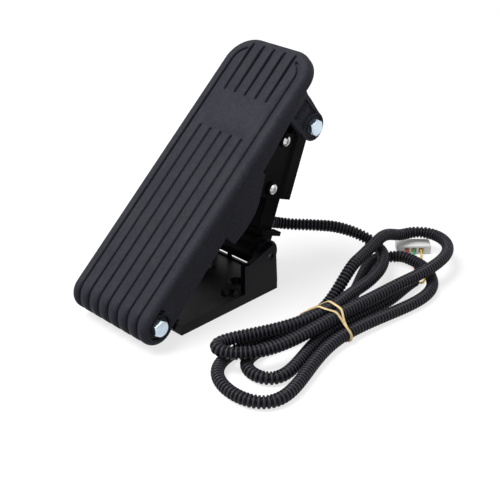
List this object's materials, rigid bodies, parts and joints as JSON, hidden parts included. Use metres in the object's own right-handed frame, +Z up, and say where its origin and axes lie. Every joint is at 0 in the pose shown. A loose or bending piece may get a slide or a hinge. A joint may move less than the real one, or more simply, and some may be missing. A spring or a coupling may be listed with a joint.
{
  "type": "electronic foot pedal",
  "caption": "Ribbed foot pedal hinged at its heel on a screwed-down base, with a telescoping spring and sensor strut behind it and a corrugated lead tied in a hank.",
  "frame": {"origin": "on the underside of the base plate, midway between the two front mounting holes", "axes": "+X across the pedal to its right as the driver sees it, +Y away from the driver towards the strut and the lead, +Z up out of the floor"},
  "size_m": [0.1714, 0.2407, 0.1543],
  "materials": {
    "treadle_black": "fine-grained matte black moulding",
    "base_black": "smooth glossy black moulding",
    "strut_black": "satin black moulding",
    "zinc_steel": "blue-white zinc plate",
    "washer_nylon": "pale beige nylon",
    "screw_steel": "bright machined steel",
    "bush_bronze": "sintered bronze",
    "holder_white": "natural plastic",
    "magnet_grey": "nickel plate",
    "board_green": "circuit board",
    "grommet_rubber": "soft black rubber",
    "conduit_black": "satin black corrugated tube",
    "band_rubber": "plain tan rubber band",
    "wire_red": "red wire covering",
    "wire_green": "green wire covering",
    "wire_yellow": "yellow wire covering",
    "connector_grey": "pale grey nylon housing",
    "terminal_brass": "crimped brass terminals"
  },
  "bodies": {
    "base": {"base_plate": "base_black", "heel_bushes": "bush_bronze", "rear_pivot_pin": "zinc_steel", "pivot_washers": "base_black", "conduit_lead": "conduit_black", "conduit_hank": "conduit_black", "hank_band": "band_rubber", "wire_red": "wire_red", "wire_green": "wire_green", "wire_yellow": "wire_yellow", "connector_housing": "connector_grey", "connector_terminals": "terminal_brass"},
    "treadle": {"treadle": "treadle_black", "heel_bolt": "zinc_steel", "heel_nut": "zinc_steel", "heel_washers": "washer_nylon", "toe_bolt": "zinc_steel", "toe_nut": "zinc_steel", "toe_washers": "zinc_steel"},
    "sleeve": {"sleeve_body": "strut_black", "sleeve_cover": "strut_black", "cover_screws": "screw_steel", "toe_bush": "bush_bronze", "spring_guide": "screw_steel", "return_spring": "screw_steel", "magnet_holder": "holder_white", "magnets": "magnet_grey"},
    "arm": {"arm": "strut_black", "hub_bushes": "bush_bronze", "sensor_board": "board_green", "board_screws": "screw_steel", "hall_sensor": "strut_black", "conduit_grommet": "grommet_rubber"}
  },
  "joints": [
    {"name": "treadle_press", "type": "hinge", "parent": "base", "child": "treadle", "pos_m": [0, -0.071, 0.017], "axis": [-1, 0, 0], "range_deg": [0, 12], "stiffness_Nm_per_rad": 4, "springref_deg": -14.32, "deforming": ["return_spring"]},
    {"name": "sleeve_swing", "type": "hinge", "parent": "treadle", "child": "sleeve", "pos_m": [0, 0.06323, 0.10969], "axis": [-1, 0, 0], "range_deg": [0, 8.5]},
    {"name": "arm_swing", "type": "hinge", "parent": "base", "child": "arm", "pos_m": [0, 0.0305, 0.026], "axis": [-1, 0, 0], "range_deg": [0, 20.5], "deforming": ["conduit_lead"]}
  ],
  "couplings": [
    {"joint": "sleeve_swing", "follows": "treadle_press", "ratio": 0.7},
    {"joint": "arm_swing", "follows": "treadle_press", "ratio": 1.7}
  ]
}
